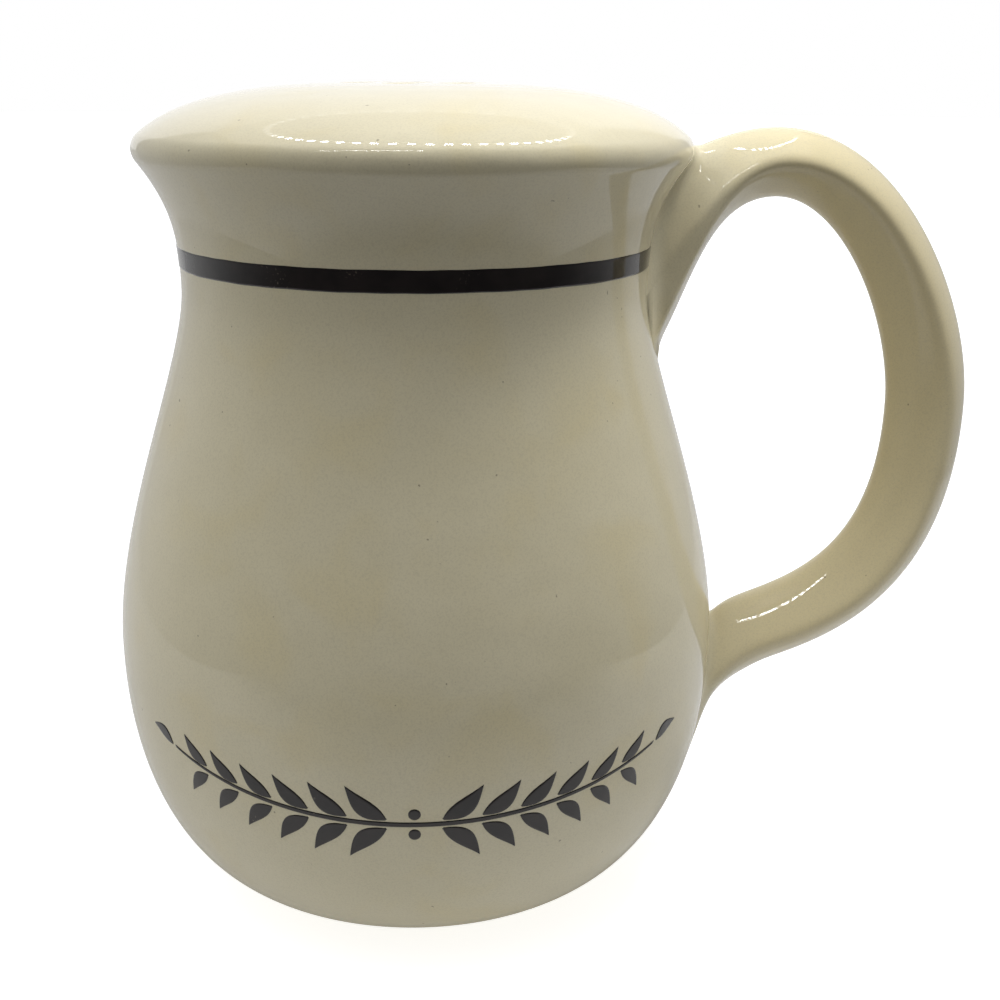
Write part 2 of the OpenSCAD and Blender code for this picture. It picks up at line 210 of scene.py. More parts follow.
# The lamps and the soft light
RING_R = 0.19
RING_X = 0.02
RING_Y = 0.19
RING_Z = 0.48
RING_COUNT = 48
RING_LAMP = 0.011
RING_STRENGTH = 40.0
RING_BACK_SHARE = 0.06
RING_FADE = (0.03, 0.2)
ROW_PLACES = (-0.16, 0.0, 11)
ROW_Y = -0.145
ROW_Z = 0.36
ROW_STRENGTH = 26.0
KEY_PLACE = (0.11, -0.02, 0.3)
KEY_SIZE = 0.06
KEY_STRENGTH = 22.0
LIGHT_RIGHT = 0.37
LIGHT_LEFT_HIGH = 0.92
LIGHT_ABOVE = 0.1
LIGHT_OVERHEAD = 1.6
FLOOR_TONE = 0.6
FLOOR_GLOW = 0.76
# The floor's painted bounce light for soft light, its glow in reflections, and its painted shade towards the
# tent's front: the share left there and the places along Y between which it fades
FLOOR_BOUNCE = 0.61
FLOOR_SHEEN = 0.05
FLOOR_SHADE_SHARE = 0.1
FLOOR_SHADE_FADE = (FRONT_Y - 0.01, FRONT_Y + 0.09)

# Steps round the pot, shared out evenly by the six holes' sectors, and the reach within which points merge
ROUND_STEPS = 240
WELD = 2e-7


def bezier(points, t):
    """Cubic curve from its first point to its last, pulled by the two between, at each share t."""
    p = np.asarray(points, float)
    t = np.asarray(t, float)[:, None]
    return (1 - t) ** 3 * p[0] + 3 * (1 - t) ** 2 * t * p[1] + 3 * (1 - t) * t**2 * p[2] + t**3 * p[3]


def arc(centre, radius, turns):
    """Points on a circle at the given turns from level, in degrees."""
    turns = np.radians(turns)
    return np.stack([centre[0] + radius * np.cos(turns), centre[1] + radius * np.sin(turns)], axis=-1)


def normals_of(line):
    """Unit vectors on the right-hand side of a line of [distance from the axis, height] points."""
    way = np.gradient(line, axis=0)
    way /= np.linalg.norm(way, axis=1, keepdims=True)
    return np.stack([way[:, 1], -way[:, 0]], axis=-1)


def softened(corners, rounds, steps=6):
    """A line through corners, each corner replaced by a curve that starts and ends its round away."""
    corners = np.asarray(corners, float)
    t = np.linspace(0, 1, steps + 1)[:, None]
    parts = [corners[:1]]
    for before, corner, after, size in zip(corners[:-2], corners[1:-1], corners[2:], rounds):
        start = corner + size * (before - corner) / np.linalg.norm(before - corner)
        end = corner + size * (after - corner) / np.linalg.norm(after - corner)
        parts.append((1 - t) ** 2 * start + 2 * (1 - t) * t * corner + t**2 * end)
    parts.append(corners[-1:])
    return np.concatenate(parts)


def evened(line, step):
    """The same line with its long stretches filled by points at most a step apart."""
    parts = []
    for a, b in zip(line[:-1], line[1:]):
        count = max(int(math.ceil(np.linalg.norm(b - a) / step)), 1)
        parts.append(a + (b - a) * (np.arange(count) / count)[:, None])
    return np.concatenate(parts + [line[-1:]])


def smooth_step(x):
    """Zero below 0, one above 1, and level at both ends."""
    x = np.clip(x, 0, 1)
    return x * x * (3 - 2 * x)


def pot_side():
    """Outside of the pot from the foot's corner to the rim's widest line: three curves and an arc."""
    reach = LOW_BELLY_OUT * (BELLY_R - FOOT_R)
    low = bezier(
        [
            (FOOT_R, FOOT_UPRIGHT),
            (FOOT_R + reach, FOOT_UPRIGHT + LOW_BELLY_SLOPE * reach),
            (BELLY_R, (1 - LOW_BELLY_END) * BELLY_Z),
            (BELLY_R, BELLY_Z),
        ],
        np.linspace(0, 1, 60),
    )
    rise = WAIST_Z - BELLY_Z
    high = bezier(
        [
            (BELLY_R, BELLY_Z),
            (BELLY_R, BELLY_Z + HIGH_BELLY_PULLS[0] * rise),
            (WAIST_R, WAIST_Z - HIGH_BELLY_PULLS[1] * rise),
            (WAIST_R, WAIST_Z),
        ],
        np.linspace(0, 1, 64),
    )
    # The rim's arc has its finest steps at the widest line, where the top begins
    turns = RIM_LOW_TURN * (1 - np.linspace(0, 1, 18)) ** 1.6
    rim = arc((RIM_R - RIM_ROUND, RIM_Z), RIM_ROUND, turns)
    start = rim[0]
    rise = start[1] - WAIST_Z
    lean = math.radians(RIM_LOW_TURN)
    neck = bezier(
        [
            (WAIST_R, WAIST_Z),
            (WAIST_R, WAIST_Z + NECK_PULLS[0] * rise),
            start - NECK_PULLS[1] * rise * np.array([-math.sin(lean), math.cos(lean)]),
            start,
        ],
        np.linspace(0, 1, 44),
    )
    return np.concatenate([low, high[1:], neck[1:], rim[1:]])


def top_side():
    """Outside of the top from the rim's widest line to the axis: an arc and one shallow curve."""
    turns = RIM_HIGH_TURN * np.linspace(0, 1, 20) ** 1.6
    rim = arc((RIM_R - RIM_ROUND, RIM_Z), RIM_ROUND, turns)
    start = rim[-1]
    lean = math.radians(RIM_HIGH_TURN)
    dome = bezier(
        [
            start,
            start + DOME_PULLS[0] * start[0] * np.array([-math.sin(lean), math.cos(lean)]),
            (DOME_PULLS[1] * start[0], TOTAL_H),
            (0, TOTAL_H),
        ],
        np.linspace(0, 1, 900),
    )
    return rim, dome


def settled(points):
    """Cast clay's slight unevenness: the radius swells and shrinks in waves of two and three a turn."""
    points = np.array(points, float)
    turn = np.arctan2(points[..., 1], points[..., 0])
    height = points[..., 2] / TOTAL_H
    share = 0.0014 * np.cos(2 * (turn - 0.5)) * (0.4 + 0.6 * height)
    share += 0.0009 * np.cos(3 * turn + 1.1 + 2 * height)
    points[..., :2] *= (1 + share)[..., None]
    return points


def revolved(line, turns):
    """The line carried round the axis: one row for each of its points, one column for each turn."""
    turns = np.radians(turns)
    x = line[:, 0, None] * np.cos(turns)
    y = line[:, 0, None] * np.sin(turns)
    z = np.repeat(line[:, 1, None], len(turns), axis=1)
    return np.stack([x, y, z], axis=-1)


ROUND_TURNS = HOLE_TURN - 180 / HOLE_COUNT + np.arange(ROUND_STEPS) * 360 / ROUND_STEPS


class Sheets:
    """Grids of points that become one mesh, with their shared edges welded."""

    def __init__(self):
        self.points = []
        self.faces = []
        self.count = 0

    def add(self, grid, closed=True, looped=False):
        """Quads between a grid's rows and columns; closed joins the end columns, looped the end rows."""
        rows, columns = grid.shape[:2]
        i = np.arange(rows if looped else rows - 1)[:, None]
        j = np.arange(columns if closed else columns - 1)[None, :]
        i_next = (i + 1) % rows
        j_next = (j + 1) % columns
        corners = [i * columns + j, i * columns + j_next, i_next * columns + j_next, i_next * columns + j]
        faces = np.stack(np.broadcast_arrays(*corners), axis=-1).reshape(-1, 4)
        self.faces.append(faces + self.count)
        self.points.append(grid.reshape(-1, 3))
        self.count += rows * columns

    def make(self, name, sharp=50):
        """The mesh object: doubles merged, faces outwards, smooth but for edges past the sharp angle."""
        points = settled(np.concatenate(self.points))
        faces = np.concatenate(self.faces)
        mesh = bpy.data.meshes.new(name)
        mesh.vertices.add(len(points))
        mesh.vertices.foreach_set("co", points.astype(np.float32).ravel())
        mesh.loops.add(faces.size)
        mesh.loops.foreach_set("vertex_index", faces.astype(np.int32).ravel())
        mesh.polygons.add(len(faces))
        mesh.polygons.foreach_set("loop_start", np.arange(0, faces.size, 4, dtype=np.int32))
        mesh.update(calc_edges=True)
        mesh.validate()
        shape = bmesh.new()
        shape.from_mesh(mesh)
        bmesh.ops.remove_doubles(shape, verts=shape.verts, dist=WELD)
        bmesh.ops.dissolve_degenerate(shape, dist=WELD, edges=shape.edges)
        bmesh.ops.recalc_face_normals(shape, faces=shape.faces)
        shape.to_mesh(mesh)
        shape.free()
        mesh.shade_smooth()
        mesh.set_sharp_from_angle(angle=math.radians(sharp))
        piece = bpy.data.objects.new(name, mesh)
        bpy.context.scene.collection.objects.link(piece)
        return piece


def make_body():
    """The pot's wall, foot and base: one closed line carried round the axis."""
    side = pot_side()
    inside = side - WALL * normals_of(side)
    floor_r = inside[inside[:, 1] > BASE_TOP_Z + WALL / 2][0, 0] - WALL / 2
    inside = inside[(inside[:, 1] > BASE_TOP_Z + WALL / 2) & (inside[:, 1] < RIM_Z - RIM_ROUND)]
    under = softened(
        [
            (FILL_R, (BASE_LOW_Z + BASE_TOP_Z) / 2),
            (FILL_R, BASE_LOW_Z),
            (FOOT_IN_R, BASE_LOW_Z),
            (FOOT_IN_R, 0),
            (FOOT_R, 0),
            (FOOT_R, FOOT_UPRIGHT),
        ],
        [FILL_EDGE_ROUND, BASE_ROUND, FOOT_EDGE_ROUND, FOOT_EDGE_ROUND],
    )
    floor = softened(
        [
            (inside[0, 0] - 0.0001, inside[0, 1] - 0.0001),
            (floor_r, BASE_TOP_Z),
            (FILL_R, BASE_TOP_Z),
            (FILL_R, (BASE_LOW_Z + BASE_TOP_Z) / 2),
        ],
        [FLOOR_ROUND, FILL_EDGE_ROUND],
    )
    loop = np.concatenate(
        [
            evened(under, BODY_STEP)[:-1],
            side,
            evened(np.array([side[-1], (RIM_R - WALL, RIM_Z), inside[-1]]), BODY_STEP)[1:-1],
            inside[::-2],
            evened(floor, BODY_STEP)[:-1],
        ]
    )
    sheets = Sheets()
    sheets.add(revolved(loop, ROUND_TURNS), looped=True)
    return sheets.make("glazed_body")


def hole_rows():
    """Steps from round a hole over its rounded lip and down: [share of the way out, inset, drop, level].

    Level is 0 on the outside and 1 on the underside. Inset and drop follow each lip's quarter circle.
    """
    out = 1 - np.linspace(0, 1, 13)
    bend = np.radians(np.linspace(0, 90, 10))
    flat = 0 * out[1:]
    level = 0 * bend
    wall = np.linspace(0, 1, 8)[1:-1]
    back = bend[::-1]
    stretches = [
        [out[:-1], flat + HOLE_LIP, flat, flat],
        [level, HOLE_LIP * (1 - np.sin(bend)), HOLE_LIP * (1 - np.cos(bend)), level],
        [0 * wall, 0 * wall, 0 * wall - 1, wall],
        [level, HOLE_UNDER_LIP * (1 - np.sin(back)), HOLE_UNDER_LIP * (np.cos(back) - 1), level + 1],
        [out[::-1][1:], flat + HOLE_UNDER_LIP, flat, flat + 1],
    ]
    return np.concatenate([np.stack(columns, axis=-1) for columns in stretches])


def pierced_sheet(centre, edge, top_z, under_z):
    """The plate between a hole and a loop round it: over the lip, down the wall and back to the loop."""
    away = edge - centre
    far = np.linalg.norm(away, axis=-1)
    away = away / far[:, None]
    rows = hole_rows()
    share, inset, drop, level = (rows[:, k, None] for k in range(4))
    reach = HOLE_R + inset + share * (far[None, :] - HOLE_R - inset)
    flat = centre + reach[..., None] * away[None]
    radius = np.linalg.norm(flat, axis=-1)
    upper = top_z(radius)
    lower = under_z(radius)
    on_wall = drop < -0.5
    z = np.where(level == 0, upper - drop, lower - drop)
    wall_z = (upper - HOLE_LIP) + (lower + HOLE_UNDER_LIP - upper + HOLE_LIP) * level
    z = np.where(on_wall, wall_z, z)
    return np.concatenate([flat, z[..., None]], axis=-1)


def make_top():
    """The domed top: rings round a pierced middle of six sectors with a hole each, and one at the centre."""
    rim, dome = top_side()
    outside = np.concatenate([rim, dome[1:]])
    under = outside - TOP_T * normals_of(outside)
    under = under[(under[:, 1] > RIM_Z) & (under[:, 0] > 0)]

    def top_z(radius):
        return np.interp(radius, dome[::-1, 0], dome[::-1, 1])

    def under_z(radius):
        return np.interp(radius, under[::-1, 0], under[::-1, 1])

    rings = np.linspace(dome[0, 0], PIERCED_R, 46)
    under_rings = np.linspace(PIERCED_R, under[0, 0], 30)
    loop = np.concatenate(
        [
            [(PIERCED_R, under_z(PIERCED_R))],
            np.stack([under_rings, under_z(under_rings)], axis=-1)[1:],
            evened(np.array([(under[0, 0], RIM_Z), (RIM_R, RIM_Z)]), BODY_STEP)[:-1],
            rim,
            np.stack([rings, top_z(rings)], axis=-1)[1:],
        ]
    )
    sheets = Sheets()
    sheets.add(revolved(loop, ROUND_TURNS))

    sector = 360 / HOLE_COUNT
    side_steps = 14
    middle_steps = 10
    sides = np.linspace(PIERCED_R, MIDDLE_R, side_steps + 1)
    for i in range(HOLE_COUNT):
        turn = HOLE_TURN + sector * i
        outer_turns = turn - sector / 2 + np.arange(ROUND_STEPS // HOLE_COUNT) * 360 / ROUND_STEPS
        inner_turns = turn + sector / 2 - np.arange(middle_steps) * sector / middle_steps
        turns = np.concatenate(
            [
                outer_turns,
                np.full(side_steps, turn + sector / 2),
                inner_turns,
                np.full(side_steps, turn - sector / 2),
            ]
        )
        reach = np.concatenate(
            [
                np.full(len(outer_turns), PIERCED_R),
                sides[:-1],
                np.full(middle_steps, MIDDLE_R),
                sides[::-1][:-1],
            ]
        )
        edge = reach[:, None] * np.stack([np.cos(np.radians(turns)), np.sin(np.radians(turns))], axis=-1)
        centre = HOLE_RING_R * np.array([math.cos(math.radians(turn)), math.sin(math.radians(turn))])
        sheets.add(pierced_sheet(centre, edge, top_z, under_z))
    turns = np.radians(HOLE_TURN + sector / 2 + np.arange(HOLE_COUNT * middle_steps) * sector / middle_steps)
    edge = MIDDLE_R * np.stack([np.cos(turns), np.sin(turns)], axis=-1)
    sheets.add(pierced_sheet(np.zeros(2), edge, top_z, under_z))
    return sheets.make("glazed_top")


def offset_in(line, ways, thickness):
    """Points moved in from a line, square to its direction, by the strap's thickness."""
    ways = ways / np.linalg.norm(ways, axis=1, keepdims=True)
    return line + np.asarray(thickness)[..., None] * np.stack([ways[:, 1], -ways[:, 0]], axis=-1)


def bezier_ways(points, t):
    """Direction of a cubic curve at each share t."""
    p = np.asarray(points, float)
    t = np.asarray(t, float)[:, None]
    return (1 - t) ** 2 * (p[1] - p[0]) + 2 * (1 - t) * t * (p[2] - p[1]) + t**2 * (p[3] - p[2])


def strap_steps():
    """The strap from the neck round to the belly: outer edge, inner edge, and shares for its section.

    The shares are the outer dome's depth and the side's width, over the thickness, and the dome's knee.
    """
    root_x = WAIST_R - ROOT_SINK * WALL
    crown = np.array([CROWN_X, CROWN_Z])
    inner_crown = crown - [0, CROWN_T]
    apex = np.array([APEX_X, APEX_Z])
    arm = np.array([ARM_X, ARM_Z])
    slope = math.radians(ARM_SLOPE)
    arm_way = np.array([-math.cos(slope), -math.sin(slope)])
    arm_up = np.array([arm_way[1], -arm_way[0]])
    inner_arm = arm + ARM_T * arm_up
    width = CROWN_X - root_x
    high_outer = [
        (root_x, RIM_Z - 2 * RIM_ROUND),
        (root_x + HIGH_ROOT_PULLS[0] * width, RIM_Z),
        crown - [HIGH_ROOT_PULLS[1] * width, 0],
        crown,
    ]
    high_inner = [
        (root_x, ROOT_HIGH_Z),
        (root_x + HIGH_FIN_PULLS[0] * width, ROOT_HIGH_Z),
        inner_crown - [HIGH_FIN_PULLS[1] * width, 0],
        inner_crown,
    ]
    upper = [
        crown,
        crown + [LOOP_PULLS[0] * (APEX_X - CROWN_X), 0],
        apex + [0, LOOP_PULLS[1] * (CROWN_Z - APEX_Z)],
        apex,
    ]
    lower = [
        apex,
        apex - [0, ARM_PULLS[0] * (APEX_Z - ARM_Z)],
        arm - ARM_PULLS[1] * (APEX_X - ARM_X) * arm_way,
        arm,
    ]
    tip_r = pot_radius(ROOT_LOW_Z)
    tip = np.array([tip_r + TIP_OUT * ARM_T, ROOT_LOW_Z])
    reach = ARM_X - BELLY_R
    low_outer = [
        arm,
        arm + TIP_OUTER_PULLS[0] * reach * arm_way,
        tip + [TIP_OUT * ARM_T, TIP_OUTER_PULLS[1] * (ARM_Z - ROOT_LOW_Z)],
        tip,
    ]
    low_inner = [
        inner_arm,
        inner_arm + TIP_INNER_PULL * reach * arm_way,
        (BELLY_R - WALL, ARM_Z),
        (tip_r - WALL, ROOT_LOW_Z + WALL),
    ]
    t = np.linspace(0, 1, 61)
    loop_t = t[:-1]
    upper_t = CROWN_T + (HANDLE_T - CROWN_T) * smooth_step(loop_t)
    lower_t = HANDLE_T + (ARM_T - HANDLE_T) * smooth_step(loop_t)
    outer = [bezier(high_outer, t)[:-1], bezier(upper, loop_t), bezier(lower, loop_t), bezier(low_outer, t)]
    inner = [
        bezier(high_inner, t)[:-1],
        offset_in(outer[1], bezier_ways(upper, loop_t), upper_t),
        offset_in(outer[2], bezier_ways(lower, loop_t), lower_t),
        bezier(low_inner, t),
    ]
    side = np.array([HANDLE_DOME, HANDLE_SIDE])
    away = (1 - loop_t[:, None]) ** 2
    shares = [
        side / CROWN_T + (np.array(ROOT_SHARES) - side / CROWN_T) * away,
        side / upper_t[:, None],
        side / lower_t[:, None],
        side / ARM_T + (np.array(TIP_SHARES) - side / ARM_T) * t[:, None],
    ]
    shares = np.concatenate(shares)
    knee = np.full(len(shares), LOOP_KNEE)
    knee[: len(away)] += (ROOT_KNEE - LOOP_KNEE) * away[:, 0]
    return np.concatenate(outer), np.concatenate(inner), shares, knee


def pot_depth(points):
    """Distance of each point from the nearest stretch of the pot's line, positive outside the pot."""
    rim, dome = top_side()
    line = np.concatenate([pot_side(), rim[1:], dome[1::20]])
    normals = normals_of(line)
    flat = np.stack([np.hypot(points[..., 0], points[..., 1]), points[..., 2]], axis=-1)
    shape = flat.shape[:-1]
    flat = flat.reshape(-1, 2)
    near = np.argmin(((flat[:, None] - line[None]) ** 2).sum(axis=-1), axis=1)
    return ((flat - line[near]) * normals[near]).sum(axis=-1).reshape(shape)


def pulled(start, middle, end, t):
    """A bend from its start, pulled to its middle, to its end: columns of points, one for each share t."""
    t = t[None, :, None]
    return (1 - t) ** 2 * start[:, None] + 2 * (1 - t) * t * middle[:, None] + t**2 * end[:, None]


def rounded(before, corner, after, size):
    """Corners rounded over a length to each side, at most half of each side: their first and last points."""
    first = before - corner
    last = after - corner
    far = np.linalg.norm(first, axis=1, keepdims=True)
    start = corner + np.minimum(size, far / 2.1) * first / far
    far = np.linalg.norm(last, axis=1, keepdims=True)
    return start, corner + np.minimum(size, far / 2.1) * last / far


def strap_section(half_t, half_w, shares, knee):
    """Sections of the strap, [across the thickness, across the width]: outer dome, side, inner dome."""
    zero = 0 * half_t
    top = np.stack([half_t, zero], axis=-1)
    level = np.stack([half_t, half_w * knee], axis=-1)
    edge = np.stack([half_t * (1 - 2 * shares[:, 0]), half_w], axis=-1)
    edge_2 = np.stack([half_t * (1 - 2 * shares.sum(axis=1)), half_w], axis=-1)
    level_2 = np.stack([-half_t, half_w * INNER_KNEE], axis=-1)
    base = np.stack([-half_t, zero], axis=-1)
    start, end = rounded(level, edge, edge_2, HANDLE_ROUND)
    start_2, end_2 = rounded(edge, edge_2, level_2, HANDLE_ROUND)
    bend = np.linspace(0, 1, 9)
    dome = np.linspace(0, 1, 17)
    half = np.concatenate(
        [
            pulled(top, level, start, dome),
            pulled(start, edge, end, bend)[:, 1:],
            pulled(start_2, edge_2, end_2, bend),
            pulled(end_2, level_2, base, dome)[:, 1:],
        ],
        axis=1,
    )
    # Rounding draws the edge lines in a little, so each section is widened back to the strap's width
    half[..., 1] *= (half_w / half[..., 1].max(axis=1))[:, None]
    other = half[:, -2:0:-1] * [1, -1]
    whole = np.concatenate([half, other], axis=1)
    return whole[..., 0], whole[..., 1]


def make_handle():
    """The strap swept along its two edges, with a hollow fillet at the pot and a thumbed lower tip."""
    outer, inner, shares, knee = strap_steps()
    middle = (outer + inner) / 2
    span = outer - inner
    half_t = np.linalg.norm(span, axis=1) / 2
    out = span / (2 * half_t[:, None])
    rows = len(outer)
    tip_share = np.clip((np.arange(rows) - (rows - TIP_ROWS)) / (TIP_ROWS - 1), 0, 1)
    half_w = HANDLE_W / 2 * (1 - TIP_NARROWING * tip_share**2)

    # A rounded nose past the last step closes the lower tip
    nose = np.radians(np.linspace(0, 88, 9))[1:]
    way = middle[-1] - middle[-2]
    way /= np.linalg.norm(way)
    middle = np.concatenate([middle, middle[-1] + NOSE_L * np.sin(nose)[:, None] * way])
    half_t = np.concatenate([half_t, half_t[-1] * np.cos(nose)])
    half_w = np.concatenate([half_w, half_w[-1] * np.cos(nose)])
    out = np.concatenate([out, np.repeat(out[-1:], len(nose), axis=0)])
    shares = np.concatenate([shares, np.repeat(shares[-1:], len(nose), axis=0)])
    knee = np.concatenate([knee, np.full(len(nose), knee[-1])])

    a, b = strap_section(half_t, half_w, shares, knee)
    x = middle[:, 0, None] + a * out[:, 0, None]
    z = middle[:, 1, None] + a * out[:, 1, None]
    points = np.stack([x, b, z], axis=-1)

    # The section's own outward direction at each point
    step_a = np.roll(a, -1, axis=1) - np.roll(a, 1, axis=1)
    step_b = np.roll(b, -1, axis=1) - np.roll(b, 1, axis=1)
    size = np.hypot(step_a, step_b) + 1e-12
    normal_a = step_b / size
    normal_b = -step_a / size
    normal = np.stack([normal_a * out[:, 0, None], normal_b, normal_a * out[:, 1, None]], axis=-1)

    # The fillet: each point moves out until it lies on the circle that touches both the strap and the pot
    start_depth = pot_depth(points)
    near = (start_depth < FILLET_R) & (start_depth > -FILLET_DEEPEST)
    low = np.zeros(near.sum())
    high = np.full(near.sum(), FILLET_R)
    p = points[near]
    n = normal[near]
    end_depth = pot_depth(p + FILLET_R * n)
    for _ in range(16):
        trial = (low + high) / 2
        depth = np.minimum(pot_depth(p + trial[:, None] * n), FILLET_R)
        inside = (FILLET_R - trial) ** 2 + (FILLET_R - depth) ** 2 > FILLET_R**2
        low = np.where(inside, trial, low)
        high = np.where(inside, high, trial)
    move = np.where(end_depth < 0, FILLET_R, high)
    move *= smooth_step((start_depth[near] + BURIED) / BURIED_FADE)
    points[near] = p + move[:, None] * n

    # Each end closes on its own middle
    sheets = Sheets()
    ends = []
    for row, order in ((points[:1], 1), (points[-1:], -1)):
        centre = row.mean(axis=1, keepdims=True)
        shrink = np.linspace(0, 1, 4)[:, None, None]
        ends.append((centre + (row - centre) * shrink)[::order])
    grid = np.concatenate([ends[0][:-1], points, ends[1][1:]])
    sheets.add(grid)
    return sheets.make("glazed_handle", sharp=180)


def pot_radius(z):
    """Outside radius of the pot at a height."""
    side = pot_side()
    return np.interp(z, side[:, 1], side[:, 0])


def on_pot(turn, z, rise):
    """A point of the print at a turn round the pot, in radians, at a height and a rise off the glaze."""
    side = pot_side()
    slope = normals_of(side)
    radius = pot_radius(z)
    out_r = np.interp(z, side[:, 1], slope[:, 0])
    out_z = np.interp(z, side[:, 1], slope[:, 1])
    r = radius + rise * out_r
    return np.stack([r * np.cos(turn), r * np.sin(turn), z + rise * out_z], axis=-1)


def print_rise(across, depth):
    """Height of the fired colour over the glaze: level inside, and dipping under the glaze at its edge."""
    return PRINT_RISE - (PRINT_RISE + PRINT_SINK) * smooth_step(1 - (1 - np.abs(across)) * depth)


def add_patch(sheets, turn, z, rise):
    """A patch of print: its face at the given rise, and its back just under the glaze."""
    face = on_pot(turn, z, rise)
    back = on_pot(turn[::-1], z[::-1], np.full_like(rise, PRINT_BACK))
    sheets.add(np.concatenate([face, back]), closed=False, looped=True)


def make_band():
    """The band round the waist, brushed on by hand: its edges wander by a few hundredths of a millimetre."""
    half_gap = math.asin((HANDLE_W / 2 + BAND_END_GAP) / pot_radius(BAND_LOW_Z))
    turn = np.linspace(half_gap, 2 * math.pi - half_gap, 700)[:, None]
    across = np.linspace(-1, 1, 25)[None, :]
    wander = BAND_WANDER * np.sin(17 * turn) + BAND_RIPPLE * np.sin(41 * turn + 1)
    middle = BAND_LOW_Z + BAND_W / 2 + wander
    ends = np.minimum(turn - half_gap, 2 * math.pi - half_gap - turn) * WAIST_R
    corner = np.clip(ends / BAND_CORNER, 0, 1)
    width = BAND_W / 2 * (0.93 + 0.07 * np.sqrt(1 - (1 - corner) ** 2)) + BAND_RIPPLE * np.sin(29 * turn + 2)
    z = middle + across * width
    turn = np.broadcast_to(turn, z.shape)
    rise = np.minimum(print_rise(across, 9), print_rise(1 - np.minimum(ends / BAND_END_EDGE, 1), 9))
    sheets = Sheets()
    add_patch(sheets, turn, z, rise)
    return sheets.make("printed_band", sharp=80)


def stem_up(along):
    """Height of the sprig's stem at a distance along the belly: a shallow bowl."""
    return SPRIG_Z + SPRIG_LIFT * (along / SPRIG_HALF) ** 2


def add_flat_patch(sheets, along, up, rise):
    """A patch laid out flat, wrapped round the belly."""
    turn = math.radians(SPRIG_TURN) + along / BELLY_R
    add_patch(sheets, turn, up, rise)


def add_leaf(sheets, start, turn, size, bow):
    """A pointed leaf on a short stalk: it bows to one side and is widest at two fifths of its length."""
    t = np.linspace(-STALK_SHARE, 1, 34)[:, None]
    across = np.linspace(-1, 1, 13)[None, :]
    way = np.array([math.cos(turn), math.sin(turn)])
    side = np.array([-way[1], way[0]])
    length = LEAF_L * size * t
    on_leaf = np.clip(t, 0, 1)
    swing = bow * LEAF_L * size * 0.1 * np.sin(math.pi * on_leaf)
    width = LEAF_W / 2 * size * np.sin(math.pi * on_leaf**0.8) ** 1.1 * smooth_step((1 - t) * 12 + 0.2)
    width = np.maximum(width, STALK_W / 2 * (1 - smooth_step(3 * t)))
    off = swing + across * width
    along = start[0] + length * way[0] + off * side[0]
    up = start[1] + length * way[1] + off * side[1]
    rise = np.minimum(print_rise(across, 5), print_rise(2 * on_leaf - 1, 14)) + 0 * along
    add_flat_patch(sheets, along, up, rise)


def add_berry(sheets, along, up):
    """A round berry: rings about its middle."""
    turn = np.linspace(0, 2 * math.pi, 33)[:-1][None, :]
    share = np.linspace(0, 1, 9)[:, None]
    x = along + BERRY_R * share * np.cos(turn)
    y = up + BERRY_R * share * np.sin(turn)
    turn = math.radians(SPRIG_TURN) + x / BELLY_R
    rise = print_rise(share, 5) + 0 * x
    face = on_pot(turn, y, rise)
    back = on_pot(turn[::-1], y[::-1], np.full_like(rise, PRINT_BACK))
    sheets.add(np.concatenate([face, back]))


def make_sprig():
    """A stem along the belly with leaves in pairs, a leaf at each end and two berries at the middle."""
    sheets = Sheets()
    along = np.linspace(-SPRIG_HALF, SPRIG_HALF, 240)[:, None]
    across = np.linspace(-1, 1, 9)[None, :]
    half_width = STEM_W / 2 * (1 - 0.6 * (along / SPRIG_HALF) ** 2)
    up = stem_up(along) + across * half_width
    rise = np.minimum(print_rise(across, 4), print_rise(along / SPRIG_HALF, 60)) + 0 * up
    add_flat_patch(sheets, np.broadcast_to(along, up.shape), up, rise)
    gap = STEM_W / 2 + STEM_W / 3
    for half in (-1, 1):
        for i in range(LEAF_PAIRS):
            place = SPRIG_HALF * (0.1 + 0.86 * i / LEAF_PAIRS)
            size = 1 - 0.3 * i / LEAF_PAIRS
            for over in (-1, 1):
                turn = math.radians(90 - half * (90 - over * LEAF_TURN))
                start = (half * place, stem_up(place) + over * gap)
                add_leaf(sheets, start, turn, size, -half * over)
        end = (half * (SPRIG_HALF + STEM_W / 3), stem_up(SPRIG_HALF))
        add_leaf(sheets, end, math.radians(90 - half * 70), 0.7, half)
    for over in (-1, 1):
        add_berry(sheets, 0, SPRIG_Z + over * (gap + BERRY_R))
    return sheets.make("printed_sprig", sharp=80)


